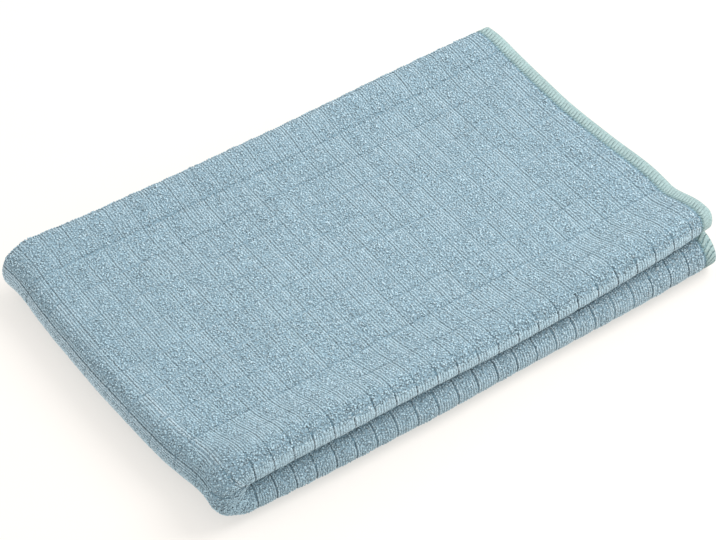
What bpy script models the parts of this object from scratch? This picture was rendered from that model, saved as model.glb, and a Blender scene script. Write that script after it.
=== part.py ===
"""A microfibre cloth with a grid of grooves, folded in thirds and then in half.

The cloth is one sheet. A cut across it shows its thirds: an inner flap, a tight fold at
the back, the outer panel, a fat round fold at the front, and a second flap. That section
is carried along a path that runs over the top, round the half fold at the left and back
underneath, so the stack is six layers high. Both short ends, the hems, lie at the right.

Metres. +X runs along the front edge towards the hems, +Y to the back, +Z up. The origin
is on the table, under the middle of the folded cloth.
"""

import bpy
import numpy as np

# The sheet
THICKNESS = 0.0022            # of one layer
GROOVE_PITCH = 0.008          # from one long groove to the next
GROOVE_HALF_WIDTH = 0.0007
GROOVE_DEPTH = 0.0007
GROOVES_EACH_HALF = 25        # on the top, and again below
LOWER_SPACING = 0.985         # the lower half is drawn together a little
HEM_EDGE = 0.30               # share of the thickness left at the rounded edge of a hem
HEM_SHOULDER = 0.80           # the same, a quarter of the rounding further in
HEM_ROUND = 0.0018            # width of the rounding at a hem
HEM_WIDTH = 0.0042            # from the edge to the line of the sewing
HEM_LINE_DEPTH = 0.0004

# The folded stack, before it is centred on the origin
RIGHT_EDGE = 0.0970           # the two hems
FOLD_CENTRE = -0.0948         # the half fold turns about this x
MIDDLE_GAP = 0.0009           # between the upper and the lower half
BACK_FOLD_LEVEL = 0.63        # where the inner flap leaves the back fold: 0 outside, 1 middle
INNER_FLAP_LEVEL = 0.5        # its level between the other two layers
HEM_SET_BACK = 0.0014         # how far inside the outer hem the innermost one ends
GROOVE_FADE = (1.0, 0.7)      # levels between which grooves fade in, out of the middle gap

# The stack along its length: its heights, how far its front and back edges lie to the back
# of their straight lines, and how high its upper half is at the front fold. That half lies
# flatter there than the lower one.
STACK = (
    # x,      front fold, middle, back fold, front edge, back edge, upper half
    (-0.0950, 0.0244, 0.0168, 0.0212, 0.0020, 0.0028, 0.0122),
    (-0.0600, 0.0246, 0.0165, 0.0208, 0.0006, 0.0011, 0.0112),
    (-0.0200, 0.0224, 0.0163, 0.0204, -0.0006, 0.0000, 0.0092),
    (0.0260, 0.0206, 0.0162, 0.0200, -0.0008, -0.0003, 0.0084),
    (0.0650, 0.0236, 0.0165, 0.0198, -0.0005, -0.0001, 0.0094),
    (0.0970, 0.0247, 0.0184, 0.0200, 0.0004, -0.0010, 0.0089),
)

# How the two ends lie, from the front to the back: how far the half fold is drawn in, how
# deep it is against a half circle, and how far the hems reach out
ENDS = (
    # y,      drawn in, depth, hem
    (-0.0660, 0.0050, 1.22, 0.0002),
    (-0.0550, 0.0054, 1.12, 0.0009),
    (-0.0440, 0.0055, 1.05, 0.0018),
    (-0.0300, 0.0034, 1.00, 0.0028),
    (-0.0080, 0.0020, 1.00, 0.0013),
    (0.0150, 0.0010, 1.00, 0.0003),
    (0.0330, 0.0010, 1.00, 0.0009),
    (0.0560, 0.0011, 1.04, 0.0014),
    (0.0680, 0.0006, 1.22, 0.0000),
)
DRAWN_FROM = -0.020           # the half fold draws in only what lies left of this x
DRAWN_POWER = 2.2
HEM_SWAY_FROM = 0.075         # and the hems move only what lies right of this x

# Places across the stack where each layer has a row of points, from the back to the front
PANEL_ROWS = (0.0630, 0.0560, 0.0480, 0.0190, -0.0100, -0.0375, -0.0440, -0.0500, -0.0555, -0.0605)
FRONT_RISE = (-0.0380, -0.0600)   # the stack swells between these, towards the front fold
BACK_RISE = (0.0450, 0.0630)      # and between these, towards the back fold
BACK_FOLD_STEPS = 5
FRONT_FOLD_STEPS = 7
INNER_FLAP_EDGE = -0.0585     # free edge of the flap inside the front fold
SECOND_FLAP_EDGE = 0.0590     # free edge of the flap near the back fold
FLAP_ROUND = 0.0012

# Points along the path
STEPS_ROUND_FOLD = 3          # for each groove
GROOVES_ROUND_FOLD = 3        # of each half
GROOVES_PER_COARSE_STEP = 4

CLOTH_COLOUR = (0.36, 0.53, 0.62, 1.0)
CLOTH_ROUGHNESS = 0.95


def clear_scene():
    """Remove what the scene holds."""
    for item in list(bpy.data.objects):
        bpy.data.objects.remove(item, do_unlink=True)


def smooth_step(value, start, end):
    """0 at start, 1 at end, 3t^2 - 2t^3 between."""
    t = np.clip((value - start) / (end - start), 0.0, 1.0)
    return t * t * (3.0 - 2.0 * t)


def smooth_curve(value, table, column):
    """A smooth curve through one column of a table, by cubic Hermite pieces."""
    rows = np.array(table)
    x, y = rows[:, 0], rows[:, column]
    slope = np.gradient(y, x)
    value = np.clip(value, x[0], x[-1])
    i = np.clip(np.searchsorted(x, value) - 1, 0, len(x) - 2)
    width = x[i + 1] - x[i]
    t = (value - x[i]) / width
    start = (1 + 2 * t) * (1 - t) ** 2 * y[i] + t * (1 - t) ** 2 * width * slope[i]
    end = t * t * (3 - 2 * t) * y[i + 1] - t * t * (1 - t) * width * slope[i + 1]
    return start + end


def stack_height(x, y):
    """Height of the whole stack: the middle height, swollen at the front and back folds."""
    middle = smooth_curve(x, STACK, 2)
    front = smooth_curve(x, STACK, 1) - middle
    back = smooth_curve(x, STACK, 3) - middle
    return middle + front * smooth_step(y, *FRONT_RISE) + back * smooth_step(y, *BACK_RISE)


def upper_half(x, y):
    """Height of the upper half of the stack: half of it, and less over the front fold."""
    flatter = smooth_curve(x, STACK, 1) / 2 - smooth_curve(x, STACK, 6)
    return stack_height(x, y) / 2 - flatter * smooth_step(y, *FRONT_RISE)


def section_rows():
    """The cut across the sheet, row by row from the inner flap's edge to the second flap's.

    A row holds y, the level in its half (0 outside, 1 at the middle plane), how far it
    bulges (a share of its fold's radius, + to the back and - to the front), that radius in
    levels, and the share of the thickness there. The second list says whose outer side shows.
    """
    rows, shown = [], []

    def panel(places, level, seen):
        """A flat layer; the inner flap climbs to its level in the back fold."""
        for y in places:
            climb = 0.0
            if level == INNER_FLAP_LEVEL:
                climb = smooth_step(y, *BACK_RISE) * (BACK_FOLD_LEVEL - INNER_FLAP_LEVEL)
            rows.append((y, level + climb, 0.0, 0.0, 1.0))
            shown.append(seen)

    def turn(y, start, end, side, steps):
        """A half round between two levels, without its two ends."""
        for k in range(1, steps):
            angle = np.pi * k / steps
            level = start + (end - start) * (1 - np.cos(angle)) / 2
            rows.append((y, level, side * np.sin(angle), abs(end - start) / 2, 1.0))
            shown.append(True)

    forward = list(PANEL_ROWS)
    backward = forward[::-1]
    inner_flap = [INNER_FLAP_EDGE, INNER_FLAP_EDGE + FLAP_ROUND] + backward[1:]
    second_flap = backward[:-1] + [SECOND_FLAP_EDGE - FLAP_ROUND, SECOND_FLAP_EDGE]
    panel(inner_flap, INNER_FLAP_LEVEL, False)
    turn(forward[0], BACK_FOLD_LEVEL, 0.0, 1.0, BACK_FOLD_STEPS)
    panel(forward, 0.0, True)
    turn(forward[-1], 0.0, 1.0, -1.0, FRONT_FOLD_STEPS)
    panel(second_flap[:1], 1.0, True)
    panel(second_flap[1:], 1.0, False)
    rows, shown = np.array(rows), np.array(shown)
    rows[[0, -1], 4] = HEM_EDGE
    return rows, shown


def fold_quarter(y):
    """Radius of the half fold at y, and the length of a quarter turn round it."""
    radius = stack_height(FOLD_CENTRE, y) / 2
    return radius, radius * np.pi / 2


def path_stations():
    """The path from the upper hem round the half fold to the lower hem.

    A station holds the distance along the sheet from the middle of the half fold, + on the
    top and - below, the depth of the groove or sewing line there, the share of the
    thickness, and whether the coarse sides of the sheet have points there too.
    """
    hem = RIGHT_EDGE - FOLD_CENTRE + fold_quarter(0.0)[1]
    line = hem - HEM_WIDTH
    half = [
        (hem, 0.0, HEM_EDGE, True),
        (hem - HEM_ROUND / 4, 0.0, HEM_SHOULDER, True),
        (hem - HEM_ROUND, 0.0, 1.0, True),
        (line + GROOVE_HALF_WIDTH, 0.0, 1.0, False),
        (line, HEM_LINE_DEPTH, 1.0, False),
        (line - GROOVE_HALF_WIDTH, 0.0, 1.0, True),
    ]
    for k in range(GROOVES_EACH_HALF - 1, -1, -1):
        groove = (k + 0.5) * GROOVE_PITCH
        near_fold = k < GROOVES_ROUND_FOLD
        coarse = k % GROOVES_PER_COARSE_STEP == 0 and not near_fold
        half.append((groove + GROOVE_HALF_WIDTH, 0.0, 1.0, coarse))
        half.append((groove, GROOVE_DEPTH, 1.0, near_fold))
        half.append((groove - GROOVE_HALF_WIDTH, 0.0, 1.0, False))
        if near_fold:
            for j in range(1, STEPS_ROUND_FOLD):
                step = groove - GROOVE_PITCH * j / STEPS_ROUND_FOLD
                if step > 0:
                    half.append((step, 0.0, 1.0, True))
    half = np.array(half, dtype=float)
    lower = half[::-1].copy()
    lower[:, 0] *= -1
    grooves = np.abs(lower[:, 0]) < line - GROOVE_HALF_WIDTH
    lower[grooves, 0] *= LOWER_SPACING
    return np.concatenate([half, lower])


def middle_surface(stations, rows):
    """The sheet's middle surface: the section carried along the path.

    With H the height there and n the depth below the outside of the stack, a point lies at
    radius H/2 - n from the path's centre line: straight up from it on the top, straight
    down below, and turned by distance over radius round the half fold. The centre of the
    half fold moves in where the fold is fatter, because the sheet keeps its length.
    """
    distance = stations[:, 0][:, None]
    y_row, level, bulge, reach = (rows[:, k][None, :] for k in range(4))
    fold_radius, quarter = fold_quarter(y_row)
    flat_start = FOLD_CENTRE - fold_quarter(0.0)[1]
    along = flat_start + np.maximum(np.abs(distance), quarter)
    angle = np.clip(distance / fold_radius, -np.pi / 2, np.pi / 2)

    height = stack_height(along, y_row)
    flatter = height / 2 - upper_half(along, y_row)
    room = (height - MIDDLE_GAP) / 2 - THICKNESS - flatter * np.sin(angle)
    radius = height / 2 - THICKNESS / 2 - level * room
    y = y_row + bulge * reach * room
    y = y + smooth_curve(along, STACK, 4) * smooth_step(y_row, *FRONT_RISE)
    y = y + smooth_curve(along, STACK, 5) * smooth_step(y_row, *BACK_RISE)

    drawn = np.clip((DRAWN_FROM - along) / (DRAWN_FROM - FOLD_CENTRE), 0.0, 1.0)
    near_hem = smooth_step(along, HEM_SWAY_FROM, RIGHT_EDGE)
    sway = smooth_curve(y, ENDS, 3) - level * HEM_SET_BACK
    depth = smooth_curve(y, ENDS, 2)
    x = along + smooth_curve(y, ENDS, 1) * drawn ** DRAWN_POWER + sway * near_hem
    x = x - radius * depth * np.cos(angle)
    z = height / 2 + radius * np.sin(angle)
    return np.stack([x, y, z], axis=-1)


def surface_normals(grid, distance):
    """Unit normals of a grid of points, pointing to the outer side of the sheet."""
    middle_row = grid[0, :, 1:]
    run = np.concatenate([[0.0], np.cumsum(np.linalg.norm(np.diff(middle_row, axis=0), axis=1))])
    along = np.gradient(grid, -distance, axis=0)
    across = np.gradient(grid, run, axis=1)
    normal = np.cross(along, across)
    return normal / np.linalg.norm(normal, axis=-1, keepdims=True)


def strip(row_a, row_b):
    """Faces between two rows of points, given as (station, vertex) lists.

    Where both rows have the same stations the faces are quads. Where one has fewer, each
    of its steps takes a fan of triangles.
    """
    if len(row_a) < len(row_b):
        return [face[::-1] for face in strip(row_b, row_a)]
    faces = []
    fine = dict(row_a)
    for (s0, b0), (s1, b1) in zip(row_b, row_b[1:]):
        span = [fine[s] for s in range(s0, s1 + 1) if s in fine]
        if len(span) == 2:
            faces.append((span[0], span[1], b1, b0))
            continue
        middle = len(span) // 2
        faces += [(a, b, b0) for a, b in zip(span[:middle], span[1:middle + 1])]
        faces.append((span[middle], b1, b0))
        faces += [(a, b, b1) for a, b in zip(span[middle:], span[middle + 1:])]
    return faces


def cloth_mesh():
    """Points and faces of the whole sheet, as one closed body."""
    rows, shown = section_rows()
    stations = path_stations()
    middle = middle_surface(stations, rows)
    normal = surface_normals(middle, stations[:, 0])
    share = np.minimum(stations[:, 2][:, None], rows[:, 4][None, :])
    fade = shown * smooth_step(rows[:, 1], *GROOVE_FADE)
    groove = stations[:, 1][:, None] * fade[None, :]
    outer = middle + normal * (THICKNESS / 2 * share - groove)[..., None]
    inner = middle - normal * (THICKNESS / 2 * share)[..., None]
    points = np.concatenate([outer.reshape(-1, 3), inner.reshape(-1, 3)])

    count_s, count_r = len(stations), len(rows)
    fine = list(range(count_s))
    coarse = [s for s in fine if stations[s, 3] > 0.5]

    def row_of(side, r):
        """One row of points: side 0 is the outer side of the sheet, side 1 the inner."""
        used = fine if side == 0 and shown[r] else coarse
        return [(s, (side * count_s + s) * count_r + r) for s in used]

    faces = []
    for r in range(count_r - 1):
        faces += strip(row_of(0, r), row_of(0, r + 1))
        faces += [face[::-1] for face in strip(row_of(1, r), row_of(1, r + 1))]
    faces += strip(row_of(1, 0), row_of(0, 0))
    faces += strip(row_of(0, count_r - 1), row_of(1, count_r - 1))
    for s, first in ((0, True), (count_s - 1, False)):
        for r in range(count_r - 1):
            a, b = s * count_r + r, (count_s + s) * count_r + r
            face = (a, b, b + 1, a + 1)
            faces.append(face[::-1] if first else face)
    return points, faces


def centred(points, faces):
    """Keep the points in use, with the origin under the middle of their box."""
    used = np.unique(np.concatenate([np.array(face) for face in faces]))
    place = np.full(len(points), -1)
    place[used] = np.arange(len(used))
    points = points[used]
    low, high = points.min(axis=0), points.max(axis=0)
    points = points - np.array([(low[0] + high[0]) / 2, (low[1] + high[1]) / 2, low[2]])
    return points, [tuple(int(place[i]) for i in face) for face in faces]


def cloth_material():
    """Soft blue-grey microfibre."""
    material = bpy.data.materials.new("microfibre")
    material.use_nodes = True
    shader = material.node_tree.nodes["Principled BSDF"]
    shader.inputs["Base Color"].default_value = CLOTH_COLOUR
    shader.inputs["Roughness"].default_value = CLOTH_ROUGHNESS
    shader.inputs["Metallic"].default_value = 0.0
    material.diffuse_color = CLOTH_COLOUR
    return material


def build_cloth():
    """The folded cloth as one object."""
    points, faces = centred(*cloth_mesh())
    mesh = bpy.data.meshes.new("cloth")
    mesh.from_pydata(points.tolist(), [], faces)
    mesh.materials.append(cloth_material())
    mesh.shade_smooth()
    mesh.set_sharp_from_angle(angle=np.radians(40.0))
    cloth = bpy.data.objects.new("cloth", mesh)
    bpy.context.collection.objects.link(cloth)
    return cloth


clear_scene()
build_cloth()
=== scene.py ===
"""Looks of a folded microfibre cloth: the ribbed sheet, its looped pile and its overcast hems.

A place on the cloth is given by two distances, as on the flat cloth: along, from the middle
of the half fold (+ on the top half, - below), and across, which is y on the outer panel and
runs on round the front and back folds. Metres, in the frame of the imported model.
"""

import math

import bpy
import numpy as np
from bpy.props import FloatProperty, FloatVectorProperty, IntProperty, PointerProperty
from mathutils import Matrix, Vector


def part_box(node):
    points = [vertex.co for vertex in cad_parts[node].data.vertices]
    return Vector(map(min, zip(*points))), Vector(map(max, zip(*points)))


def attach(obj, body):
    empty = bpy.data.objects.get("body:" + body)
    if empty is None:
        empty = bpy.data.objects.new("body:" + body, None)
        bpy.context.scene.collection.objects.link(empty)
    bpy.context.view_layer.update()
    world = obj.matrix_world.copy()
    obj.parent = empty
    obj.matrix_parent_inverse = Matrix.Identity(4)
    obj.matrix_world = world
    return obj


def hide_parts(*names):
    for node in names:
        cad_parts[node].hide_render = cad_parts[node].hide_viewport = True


bl_info = {
    "name": "Folded Microfibre Cloth",
    "version": (1, 0, 0),
    "blender": (4, 5, 0),
    "location": "View3D > Sidebar > Cloth",
    "description": "A cloth with looped pile, a grid of grooves and overcast hems, folded to a pad",
    "category": "Add Mesh",
}

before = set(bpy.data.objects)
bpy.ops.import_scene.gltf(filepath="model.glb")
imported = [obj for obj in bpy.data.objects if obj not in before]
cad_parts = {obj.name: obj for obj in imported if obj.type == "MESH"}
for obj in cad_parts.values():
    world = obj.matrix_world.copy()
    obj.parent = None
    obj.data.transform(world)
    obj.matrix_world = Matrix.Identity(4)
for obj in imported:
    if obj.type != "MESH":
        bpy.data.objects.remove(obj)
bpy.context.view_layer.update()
BODY = "root"
NODE = "cloth"

# The folded sheet, in the sizes of its solid
THICKNESS = 0.0022
GROOVE_PITCH = 0.008
LOWER_SPACING = 0.985
HEM_EDGE = 0.30  # share of the thickness at the very edge of a hem
HEM_ROUND = 0.0018  # the edge rounds off over this width
RIGHT_EDGE = 0.0970
FOLD_CENTRE = -0.0948
MIDDLE_GAP = 0.0009
BACK_FOLD_LEVEL = 0.63
INNER_FLAP_LEVEL = 0.5
HEM_SET_BACK = 0.0014
STACK = (
    # x,      front fold, middle, back fold, front edge, back edge, upper half
    (-0.0950, 0.0244, 0.0168, 0.0212, 0.0020, 0.0028, 0.0122),
    (-0.0600, 0.0246, 0.0165, 0.0208, 0.0006, 0.0011, 0.0112),
    (-0.0200, 0.0224, 0.0163, 0.0204, -0.0006, 0.0000, 0.0092),
    (0.0260, 0.0206, 0.0162, 0.0200, -0.0008, -0.0003, 0.0084),
    (0.0650, 0.0236, 0.0165, 0.0198, -0.0005, -0.0001, 0.0094),
    (0.0970, 0.0247, 0.0184, 0.0200, 0.0004, -0.0010, 0.0089),
)
ENDS = (
    # y,      drawn in, depth, hem
    (-0.0660, 0.0050, 1.22, 0.0002),
    (-0.0550, 0.0054, 1.12, 0.0009),
    (-0.0440, 0.0055, 1.05, 0.0018),
    (-0.0300, 0.0034, 1.00, 0.0028),
    (-0.0080, 0.0020, 1.00, 0.0013),
    (0.0150, 0.0010, 1.00, 0.0003),
    (0.0330, 0.0010, 1.00, 0.0009),
    (0.0560, 0.0011, 1.04, 0.0014),
    (0.0680, 0.0006, 1.22, 0.0000),
)
DRAWN_FROM = -0.020
DRAWN_POWER = 2.2
HEM_SWAY_FROM = 0.075
FRONT_RISE = (-0.0380, -0.0600)
BACK_RISE = (0.0450, 0.0630)
FRONT_ROW = -0.0605  # the outer panel ends here, at the front fold
BACK_ROW = 0.0630  # and here, at the back fold
FRONT_ARC = 0.0150  # round the front fold
BACK_ARC = 0.0095  # round the back fold
SECOND_FLAP = 0.1195  # length of the flap behind the front fold
INNER_FLAP = 0.1215  # length of the flap behind the back fold

# The grid of the cloth
CROSS_PITCH = 0.0128
WALES_EACH_CELL = 8  # columns of loops between two long grooves
WALE_PITCH = GROOVE_PITCH / WALES_EACH_CELL
ROWS_EACH_CELL = 22
ROW_PITCH = CROSS_PITCH / ROWS_EACH_CELL
CELLS_EACH_HALF = 25
PILE_DEPTH = 0.00035  # the loops fill this much of the thickness, on each outer side
GROUND = THICKNESS / 2 - PILE_DEPTH  # height of the ground over the middle surface
BAND_WIDTH = 0.0044  # the overcast band, from the edge
GROOVE_WIDTH = 0.00030  # of the bell curve across a long groove
CROSS_WIDTH = 0.00045  # and across a cross groove
LONG_WANDER = 0.00022  # how far a long groove wanders to either side
CROSS_WANDER = 0.00025  # and a cross groove
FOLD_TOP = -0.0640  # a cross groove, along the top of the front fold
OVER_GAP = -0.0700  # the bend of the upper half hangs lowest over the gap here
SHOULDER_GROOVE = 0.0110  # a second groove beside the one on the half fold's shoulder
CREASE_END = (0.0055, -0.0670)  # the gap runs on as a crease round the corner, to here
CREASE_SLOPE = -0.36  # change of across for each metre along
CREASE_ENDS = (0.0035, 0.0065, 0.0170, 0.0215)  # along, where it fades in and out
CREASE_WIDTH = 0.00065
VALLEY_WIDTH = 0.0004  # of the valley beside the overcast band
ROLL_WIDTH = 0.0022  # of the swelling over the gap
CROWDED = 0.75  # where the cloth is drawn together to less than this, loops hide
FRONT_SHOWN = 0.82  # the pile is full on this share of the turn of the front fold
BACK_SHOWN = 0.85  # and of the back fold
FRONT_RIM = 0.010  # the lower pile is full this far behind the front row
BACK_RIM = 0.006  # and this far before the back row

# Random fields: the size of a lump and a seed, or only a seed for one number in each cell
LATTICE = 64  # size of a table of random numbers
LONG_FIELD = (0.021, 11)
CROSS_FIELD = (0.017, 12)
DEPTH_FIELD = (0.009, 13)
LUMP_FIELD = (0.019, 14)
SHOULDER_FIELD = (0.021, 15)
STROKED_FIELD = (0.0075, 21)
STROKED_CELLS, CROSS_CELLS, STRAND_CELLS = 22, 23, 24

# The mesh of the sheet
PANEL_STEP = 0.00118  # from row to row on the outer panel
FOLD_STEP = 0.0010  # and round the folds, while the flaps have only a few rows
FLAP_PLACES = (-0.0555, -0.0500, -0.0440, -0.0375, -0.0100, 0.0190, 0.0480, 0.0560)  # y there
FIRST_STATIONS = (0.0012, 0.0024, 0.0034)  # before the first long groove
UPPER_STATIONS = (  # from one long groove to the next, on the top
    0.0, 0.00025, 0.0006, 0.0014, 0.0027, 0.0040, 0.0053, 0.0066, 0.0074, 0.00775,
)
LOWER_STATIONS = (0.0, 0.0003, 0.0008, 0.0025, 0.0040, 0.0055, 0.0072, 0.0077)
VALLEY_STATIONS = (-0.0010, -0.0006, -0.0002, 0.0003)  # from the needle line
HEM_STATIONS = (0.0, 0.08, 0.3, 0.65, 1.0)  # of the rounding, from the edge
COARSE = 4  # the inner side keeps one point in this many
BAKE_MAP = "OFBake"
GROUND_GRAIN = 0.42  # strength of the fibre grain between the loops

# The studio
FLOOR_LEVEL = -0.0004
FLOOR_REACH = 3.0
FLOOR_CORNERS = ((-1, -1), (1, -1), (1, 1), (-1, 1))
FLOOR_GLOW = (1.0, 0.97, 0.93, 1.0)
LAMP_SIZE = 0.7
LAMP_PLACE = (0.60, -0.18, 0.74)

# Painted light (+) and painted shade (-) on the loops in each zone of the cloth: how much paler or
# darker they are where light or shade falls. This covers either side of a long groove, the ridge past
# the shoulder's groove, grooves that a bend opens, the first column on the half fold, in and before
# the cross grooves, the half fold, the bend over the gap, the left part, the top of the front fold,
# the front left corner, the ends of the lower half and the crease.
LIGHT_AND_SHADE = {
    "lit_side": 0.03,  # just before a long groove
    "shaded_side": -0.16,  # just past it
    "ridge": 0.50,  # past the shoulder's second groove
    "lit_open_side": 0.35,  # past a groove that a bend opens
    "in_cross": -0.38,
    "before_cross": 0.14,
    "half_fold": -0.24,
    "strip": 0.55,  # the first column on the half fold
    "smooth_bend": -0.20,  # the upper half's bend over the gap
    "left": -0.10,
    "fold_top": -0.22,
    "corner": -0.32,  # the front left corner
    "lower_right": 0.12,
    "lower_left": -0.22,
    "creased": -0.30,
}
# Painted shade on the strand of loops just beside a long groove
STRAND_SHADE = -0.24  # of the smooth strand beside a long groove
ROUGH_TONE = -0.16  # of rough pile
MIDDLE_TONE = 0.35  # a strand's loops are drawn together to this
EVEN_TONE = (0.15, 0.55)  # each loop's own tone lies between these
UNEVEN_TONE = 0.22  # and spreads by this where the pile is rough
ROUGHEST = 1.15  # the most that a loop's looseness can be

# What chance does to a loop: its spread in combed pile, and how much more in rough pile
MOVED_ALONG = (0.00006, 0.00022)
MOVED_ACROSS = (0.00005, 0.00016)
TURNED = (0.12, 0.85)
SIZED = (0.08, 0.10)
LEANT = (0.03, 0.10)

LOOP_CORNERS = (
    # shares of half the width, half the length and the height: the foot, then the ridge
    (-1.0, -0.8, 0.0), (1.0, -0.8, 0.0), (1.0, 0.8, 0.0), (-1.0, 0.8, 0.0),
    (0.0, -0.45, 1.0), (0.0, 0.45, 1.0),
)
LOOP_ENDS = ((0, 1, 4), (2, 3, 5))
LOOP_SIDES = ((1, 2, 5, 4), (3, 0, 4, 5), (3, 2, 1, 0))


def ease(value, start, end):
    """0 at start, 1 at end, 3t^2 - 2t^3 between."""
    t = np.clip((value - start) / (end - start), 0.0, 1.0)
    return t * t * (3.0 - 2.0 * t)


def near(value, inner, outer):
    """1 within inner of zero on both sides, 0 beyond outer, a smooth step between."""
    return ease(np.abs(value), outer, inner)


def plateau(value, start, full, fade, end):
    """0 up to start, 1 from full to fade, 0 from end, with smooth steps between."""
    return ease(value, start, full) * ease(value, end, fade)


def bell(value, width):
    """A bell curve: e to the power of minus the square of value over width."""
    return np.exp(-((value / width) ** 2))


def smooth_curve(value, table, column):
    """A smooth curve through one column of a table, by cubic Hermite pieces."""
    rows = np.array(table)
    x, y = rows[:, 0], rows[:, column]
    slope = np.gradient(y, x)
    value = np.clip(value, x[0], x[-1])
    i = np.clip(np.searchsorted(x, value) - 1, 0, len(x) - 2)
    width = x[i + 1] - x[i]
    t = (value - x[i]) / width
    start = (1 + 2 * t) * (1 - t) ** 2 * y[i] + t * (1 - t) ** 2 * width * slope[i]
    end = t * t * (3 - 2 * t) * y[i + 1] - t * t * (1 - t) * width * slope[i + 1]
    return start + end


def random_table(seed):
    """A square table of random numbers from -1 to 1."""
    return np.random.default_rng(seed).uniform(-1.0, 1.0, (LATTICE, LATTICE))


def soft_noise(u, v, size, seed):
    """A smooth random field from -1 to 1: random numbers on a square lattice, eased between."""
    table = random_table(seed)
    u, v = np.broadcast_arrays(u / size, v / size)
    i, j = np.floor(u).astype(int), np.floor(v).astype(int)
    s, t = ease(u - i, 0.0, 1.0), ease(v - j, 0.0, 1.0)
    i0, i1, j0, j1 = i % LATTICE, (i + 1) % LATTICE, j % LATTICE, (j + 1) % LATTICE
    this_side = table[i0, j0] * (1 - s) + table[i1, j0] * s
    that_side = table[i0, j1] * (1 - s) + table[i1, j1] * s
    return this_side * (1 - t) + that_side * t


def cell_number(flat, across, seed):
    """One random number from -1 to 1 for each cell of the grid."""
    i = np.floor(flat / GROOVE_PITCH + 0.5).astype(int) % LATTICE
    j = np.floor(across / CROSS_PITCH).astype(int) % LATTICE
    return random_table(seed)[i, j]


# ---------------- the folded sheet

def stack_height(x, y):
    """Height of the whole stack: the middle height, swollen at the front and back folds."""
    middle = smooth_curve(x, STACK, 2)
    front = smooth_curve(x, STACK, 1) - middle
    back = smooth_curve(x, STACK, 3) - middle
    return middle + front * ease(y, *FRONT_RISE) + back * ease(y, *BACK_RISE)


def upper_half(x, y):
    """Height of the upper half of the stack: half of it, and less over the front fold."""
    flatter = smooth_curve(x, STACK, 1) / 2 - smooth_curve(x, STACK, 6)
    return stack_height(x, y) / 2 - flatter * ease(y, *FRONT_RISE)


def section_at(across):
    """A place in the folded section: y of its row, its level and how far it bulges.

    On the outer panel y is across and the level is 0. Past the front row the level goes to 1
    as half a turn, and the second flap runs back; past the back row it goes to the inner
    flap's level as half a turn, and that flap runs forward. The bulge is the sine of the turn.
    """
    front = np.clip((FRONT_ROW - across) / FRONT_ARC, 0.0, 1.0) * np.pi
    back = np.clip((across - BACK_ROW) / BACK_ARC, 0.0, 1.0) * np.pi
    second = np.maximum(FRONT_ROW - FRONT_ARC - across, 0.0)
    inner = np.maximum(across - BACK_ROW - BACK_ARC, 0.0)
    y = np.clip(across, FRONT_ROW, BACK_ROW) + second - inner
    climb = ease(y, *BACK_RISE) * (BACK_FOLD_LEVEL - INNER_FLAP_LEVEL)
    back_level = np.where(
        inner > 0.0, INNER_FLAP_LEVEL + climb, BACK_FOLD_LEVEL * (1 - np.cos(back)) / 2
    )
    level = (1 - np.cos(front)) / 2 + back_level
    bulge = BACK_FOLD_LEVEL / 2 * np.sin(back) - np.sin(front) / 2
    return y, level, bulge


def fold_quarter(y):
    """Radius of the half fold at y, and the length of a quarter turn round it."""
    radius = stack_height(FOLD_CENTRE, y) / 2
    return radius, radius * np.pi / 2


HEM = float(RIGHT_EDGE - FOLD_CENTRE + fold_quarter(0.0)[1])  # along, at both hems
NEEDLE_LINE = HEM - BAND_WIDTH


def middle_surface(along, across):
    """The sheet's middle surface, before it is moved into the frame.

    With H the height there and n the depth below the outside of the stack, a point lies at
    radius H/2 - n from the path's centre line: straight up from it on the top, straight
    down below, and turned by distance over radius round the half fold.
    """
    along, across = np.broadcast_arrays(along, across)
    y_row, level, bulge = section_at(across)
    fold_radius, quarter = fold_quarter(y_row)
    flat_start = FOLD_CENTRE - fold_quarter(0.0)[1]
    run = flat_start + np.maximum(np.abs(along), quarter)
    angle = np.clip(along / fold_radius, -np.pi / 2, np.pi / 2)
    height = stack_height(run, y_row)
    flatter = height / 2 - upper_half(run, y_row)
    room = (height - MIDDLE_GAP) / 2 - THICKNESS - flatter * np.sin(angle)
    radius = height / 2 - THICKNESS / 2 - level * room
    y = y_row + bulge * room
    y = y + smooth_curve(run, STACK, 4) * ease(y_row, *FRONT_RISE)
    y = y + smooth_curve(run, STACK, 5) * ease(y_row, *BACK_RISE)
    drawn = np.clip((DRAWN_FROM - run) / (DRAWN_FROM - FOLD_CENTRE), 0.0, 1.0)
    near_hem = ease(run, HEM_SWAY_FROM, RIGHT_EDGE)
    sway = smooth_curve(y, ENDS, 3) - level * HEM_SET_BACK
    x = run + smooth_curve(y, ENDS, 1) * drawn ** DRAWN_POWER + sway * near_hem
    x = x - radius * smooth_curve(y, ENDS, 2) * np.cos(angle)
    return np.stack([x, y, height / 2 + radius * np.sin(angle)], axis=-1)


def unit(vectors):
    """The vectors with length 1."""
    return vectors / np.linalg.norm(vectors, axis=-1, keepdims=True)


def directions(along, across):
    """Unit vectors along, across and out of the sheet, from small steps each way."""
    step = 0.00005
    u = middle_surface(along + step, across) - middle_surface(along - step, across)
    v = middle_surface(along, across + step) - middle_surface(along, across - step)
    u = unit(u)
    out = unit(np.cross(u, v))
    return u, np.cross(out, u), out


def drawn_together(along, across):
    """Length of the folded sheet over that of the flat cloth, along it."""
    step = 0.0001
    u = middle_surface(along + step, across) - middle_surface(along - step, across)
    return np.linalg.norm(u, axis=-1) / (2 * step)


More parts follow.
